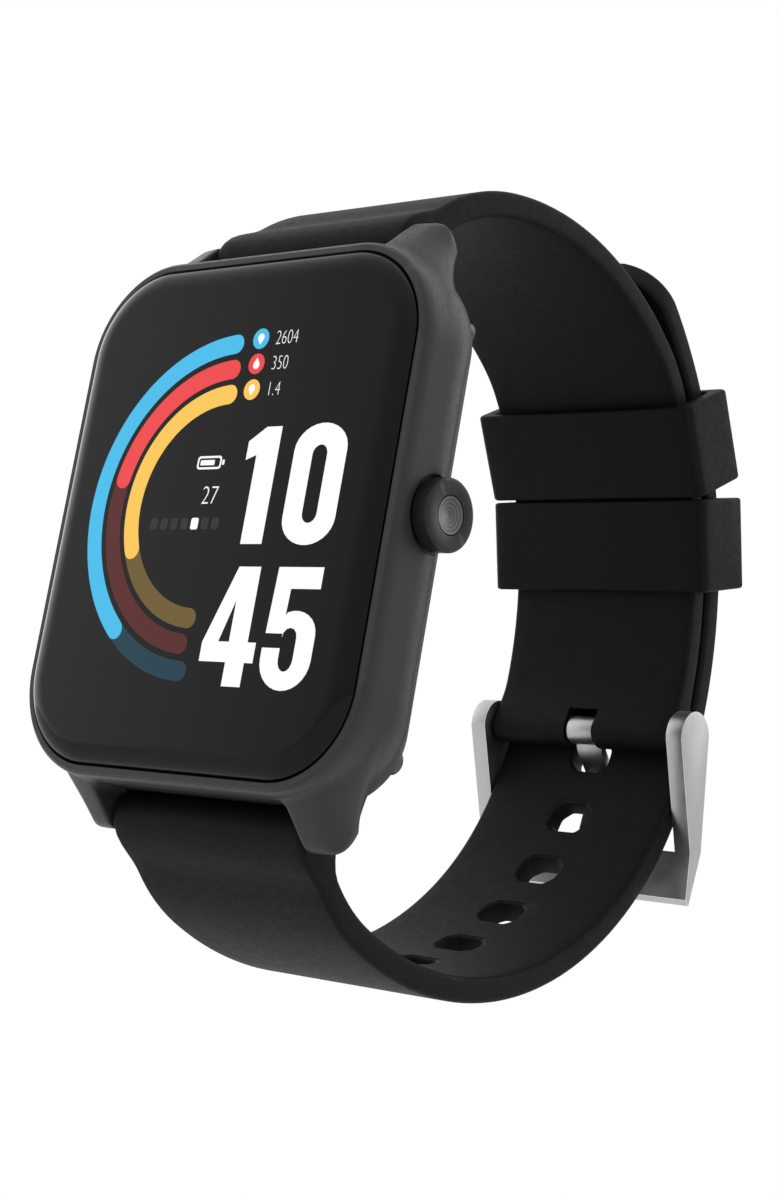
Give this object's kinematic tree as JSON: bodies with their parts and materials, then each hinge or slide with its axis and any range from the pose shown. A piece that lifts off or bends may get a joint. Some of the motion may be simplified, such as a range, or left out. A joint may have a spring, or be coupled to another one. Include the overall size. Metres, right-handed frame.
{
  "type": "smartwatch",
  "caption": "Rectangular touch-screen smartwatch with a side crown, a screwed rear cover with an optical sensor, and a silicone strap buckled closed by a pin buckle and loops.",
  "frame": {"origin": "middle of the space for the wrist, on the watch's middle plane", "axes": "+Z towards twelve o'clock, -Y out of the display, +X towards the crown side"},
  "size_m": [0.0404, 0.0637, 0.0736],
  "materials": {
    "case_metal": "satin dark graphite coating",
    "rear_plastic": "matte moulded",
    "cover_glass": "polished hardened glass over a black surround, opaque when seen from the front",
    "display_layers": "glossy",
    "seal_rubber": "soft matte",
    "flex_film": "amber film",
    "inner_plastic": "moulded",
    "circuit_board": "solder mask",
    "chip_plastic": "moulded epoxy",
    "shield_metal": "stamped sheet",
    "battery_foil": "laminated foil pouch",
    "steel": "turned",
    "screw_steel": "black passivated",
    "sensor_glass": "polished, dark tinted",
    "lamp_plastic": "clear epoxy",
    "contact_gold": "gold plated",
    "crown_metal": "satin graphite",
    "inlay_metal": "circularly spun",
    "strap_silicone": "matte moulded silicone",
    "buckle_steel": "brushed faces and polished bevels"
  },
  "bodies": {
    "watch": {"case_body": "case_metal", "rear_cover": "rear_plastic", "glass_lens": "cover_glass", "glass_seal": "seal_rubber", "rear_seal": "seal_rubber", "display_panel": "display_layers", "display_flex": "flex_film", "inner_frame": "inner_plastic", "main_board": "circuit_board", "sensor_board": "circuit_board", "processor": "chip_plastic", "memory_chip": "chip_plastic", "power_chip": "chip_plastic", "motion_sensor": "chip_plastic", "radio_module": "shield_metal", "battery_cell": "battery_foil", "battery_pad": "seal_rubber", "battery_lead": "flex_film", "motor_can": "shield_metal", "rear_screws": "screw_steel", "sensor_window": "sensor_glass", "sensor_leds": "lamp_plastic", "photodiode": "chip_plastic", "sensor_baffle": "inner_plastic", "charging_contacts": "contact_gold", "charging_magnets": "steel", "crown_tube": "steel", "switch_housing": "chip_plastic", "strap_upper": "strap_silicone", "strap_lower": "strap_silicone", "upper_bar_tube": "steel", "upper_bar_spring": "steel", "lower_bar_tube": "steel", "lower_bar_spring": "steel", "buckle_spring_bar": "steel"},
    "switch_plunger_body": {"switch_plunger": "inner_plastic"},
    "crown": {"crown_cap": "crown_metal", "crown_inlay": "inlay_metal", "crown_stem": "steel", "crown_clip": "steel", "crown_seal": "seal_rubber"},
    "haptic_weight": {"motor_weight": "steel"},
    "upper_bar_release": {"upper_bar_pin": "steel"},
    "lower_bar_release": {"lower_bar_pin": "steel"},
    "upper_keeper": {"keeper_upper": "strap_silicone"},
    "lower_keeper": {"keeper_lower": "strap_silicone"},
    "buckle": {"buckle_frame": "buckle_steel"},
    "tongue": {"buckle_tongue": "buckle_steel"}
  },
  "joints": [
    {"name": "crown_press", "type": "slide", "parent": "watch", "child": "switch_plunger_body", "axis": [-1, 0, 0], "range_m": [0, 0.00045], "stiffness_N_per_m": 2500, "springref_m": -0.0002},
    {"name": "crown_turn", "type": "hinge", "parent": "switch_plunger_body", "child": "crown", "pos_m": [0, -0.029, 0.0009], "axis": [1, 0, 0], "continuous": true},
    {"name": "haptic_spin", "type": "hinge", "parent": "watch", "child": "haptic_weight", "pos_m": [-0.0095, -0.034, 0.0095], "axis": [0, 1, 0], "continuous": true},
    {"name": "upper_bar_pull", "type": "slide", "parent": "watch", "child": "upper_bar_release", "axis": [-1, 0, 0], "range_m": [0, 0.0012], "stiffness_N_per_m": 1500, "springref_m": -0.0006},
    {"name": "lower_bar_pull", "type": "slide", "parent": "watch", "child": "lower_bar_release", "axis": [-1, 0, 0], "range_m": [0, 0.0012], "stiffness_N_per_m": 1500, "springref_m": -0.0006},
    {"name": "upper_keeper_slide", "type": "hinge", "parent": "watch", "child": "upper_keeper", "pos_m": [0, -0.0158, 0], "axis": [1, 0, 0], "range_deg": [0, 3]},
    {"name": "lower_keeper_slide", "type": "hinge", "parent": "watch", "child": "lower_keeper", "pos_m": [0, -0.0158, 0], "axis": [1, 0, 0], "range_deg": [-11, 0]},
    {"name": "buckle_swing", "type": "hinge", "parent": "watch", "child": "buckle", "pos_m": [0, 0.0236, -0.0071], "axis": [1, 0, 0], "range_deg": [-2, 4]},
    {"name": "tongue_swing", "type": "hinge", "parent": "buckle", "child": "tongue", "pos_m": [0, 0.0236, -0.0071], "axis": [1, 0, 0], "range_deg": [0, 7]}
  ]
}
